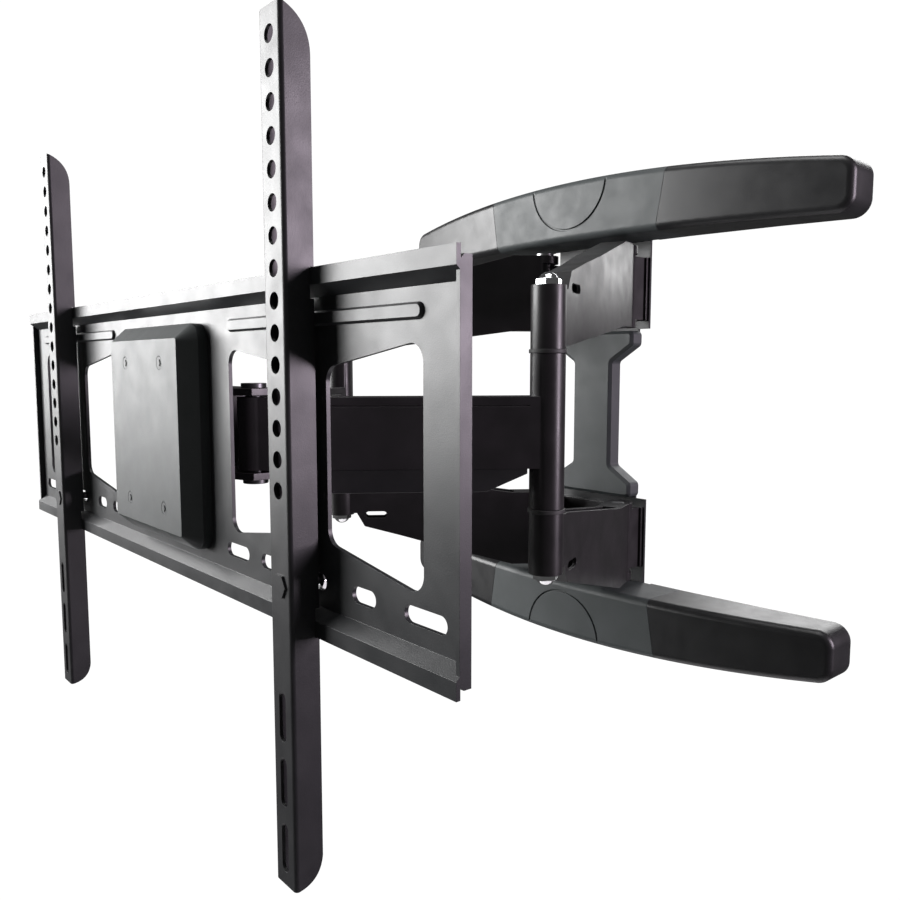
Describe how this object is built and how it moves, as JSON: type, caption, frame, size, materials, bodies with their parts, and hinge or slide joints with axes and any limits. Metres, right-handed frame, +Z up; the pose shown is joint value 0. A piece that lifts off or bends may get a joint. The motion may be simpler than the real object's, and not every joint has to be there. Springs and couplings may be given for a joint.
{
  "type": "full motion tv wall mount",
  "caption": "Full motion wall mount for a flat screen: arched wall base, two folding arms, swivel and tilt head, slotted face plate and screen brackets.",
  "frame": {"origin": "centre of the wall plate's back face, on the wall", "axes": "+Y into the wall, +X to the right as seen from the room, +Z up"},
  "size_m": [0.655, 0.4662, 0.47],
  "materials": {
    "plate_steel": "satin black powder coat",
    "arm_steel": "satin black powder coat",
    "cover_plastic": "fine grained dark grey moulding",
    "cap_plastic": "smooth black moulding",
    "polished_steel": "polished dome nuts",
    "zinc_steel": "zinc plated",
    "washer_nylon": "black nylon"
  },
  "bodies": {
    "wall_base": {"wall_plate": "plate_steel", "top_cover": "cover_plastic", "top_end_cap_right": "cap_plastic", "top_end_cap_left": "cap_plastic", "bottom_cover": "cover_plastic", "bottom_end_cap_right": "cap_plastic", "bottom_end_cap_left": "cap_plastic", "center_cover": "cover_plastic", "pivot_yoke_upper": "plate_steel", "pivot_yoke_lower": "plate_steel", "wall_pivot_pins": "zinc_steel"},
    "rear_arms_right": {"rear_arm_upper_right": "arm_steel", "rear_arm_lower_right": "arm_steel", "elbow_pin_right": "zinc_steel", "elbow_cap_nuts_right": "polished_steel", "elbow_washers_right": "washer_nylon"},
    "front_arm_right": {"front_arm_right": "arm_steel", "cable_cover_right": "cover_plastic"},
    "rear_arms_left": {"rear_arm_upper_left": "arm_steel", "rear_arm_lower_left": "arm_steel", "elbow_pin_left": "zinc_steel", "elbow_cap_nuts_left": "polished_steel", "elbow_washers_left": "washer_nylon"},
    "front_arm_left": {"front_arm_left": "arm_steel", "cable_cover_left": "cover_plastic"},
    "carrier": {"carrier": "arm_steel", "head_pivot_pins": "zinc_steel", "swivel_pin": "zinc_steel"},
    "swivel": {"swivel_block": "arm_steel"},
    "tilt": {"tilt_bracket": "plate_steel", "tilt_bolts": "zinc_steel", "level_pivot": "zinc_steel", "level_washer": "washer_nylon", "level_bolts": "zinc_steel"},
    "face": {"face_plate": "plate_steel", "head_cover": "cover_plastic", "screw_caps": "cap_plastic", "screen_bracket_right": "plate_steel", "screen_bracket_left": "plate_steel", "lock_bolts": "zinc_steel", "lock_nuts": "zinc_steel"}
  },
  "joints": [
    {"name": "right_shoulder", "type": "hinge", "parent": "wall_base", "child": "rear_arms_right", "pos_m": [0.05, -0.035, 0], "axis": [0, 0, 1], "range_deg": [-22, 30]},
    {"name": "right_elbow", "type": "hinge", "parent": "rear_arms_right", "child": "front_arm_right", "pos_m": [0.13538, -0.22905, 0], "axis": [0, 0, 1], "range_deg": [-60, 44]},
    {"name": "carrier_hinge", "type": "hinge", "parent": "front_arm_right", "child": "carrier", "pos_m": [0.01002, -0.40001, 0], "axis": [0, 0, 1], "range_deg": [-22, 30]},
    {"name": "left_shoulder", "type": "hinge", "parent": "wall_base", "child": "rear_arms_left", "pos_m": [-0.05, -0.035, 0], "axis": [0, 0, 1], "range_deg": [-30, 22]},
    {"name": "left_elbow", "type": "hinge", "parent": "rear_arms_left", "child": "front_arm_left", "pos_m": [-0.17536, -0.20597, 0], "axis": [0, 0, 1], "range_deg": [-44, 60]},
    {"name": "head_swivel", "type": "hinge", "parent": "carrier", "child": "swivel", "pos_m": [-0.04, -0.412, 0], "axis": [0, 0, 1], "range_deg": [-15, 15]},
    {"name": "screen_tilt", "type": "hinge", "parent": "swivel", "child": "tilt", "pos_m": [-0.04, -0.427, 0], "axis": [1, 0, 0], "range_deg": [-12, 5]},
    {"name": "screen_level", "type": "hinge", "parent": "tilt", "child": "face", "pos_m": [-0.04, -0.441, 0], "axis": [0, 1, 0], "range_deg": [-3, 3]}
  ],
  "couplings": [
    {"joint": "right_elbow", "follows": "right_shoulder", "ratio": -2},
    {"joint": "carrier_hinge", "follows": "right_shoulder", "ratio": 1},
    {"joint": "left_shoulder", "follows": "right_shoulder", "ratio": -1},
    {"joint": "left_elbow", "follows": "right_shoulder", "ratio": 2}
  ]
}
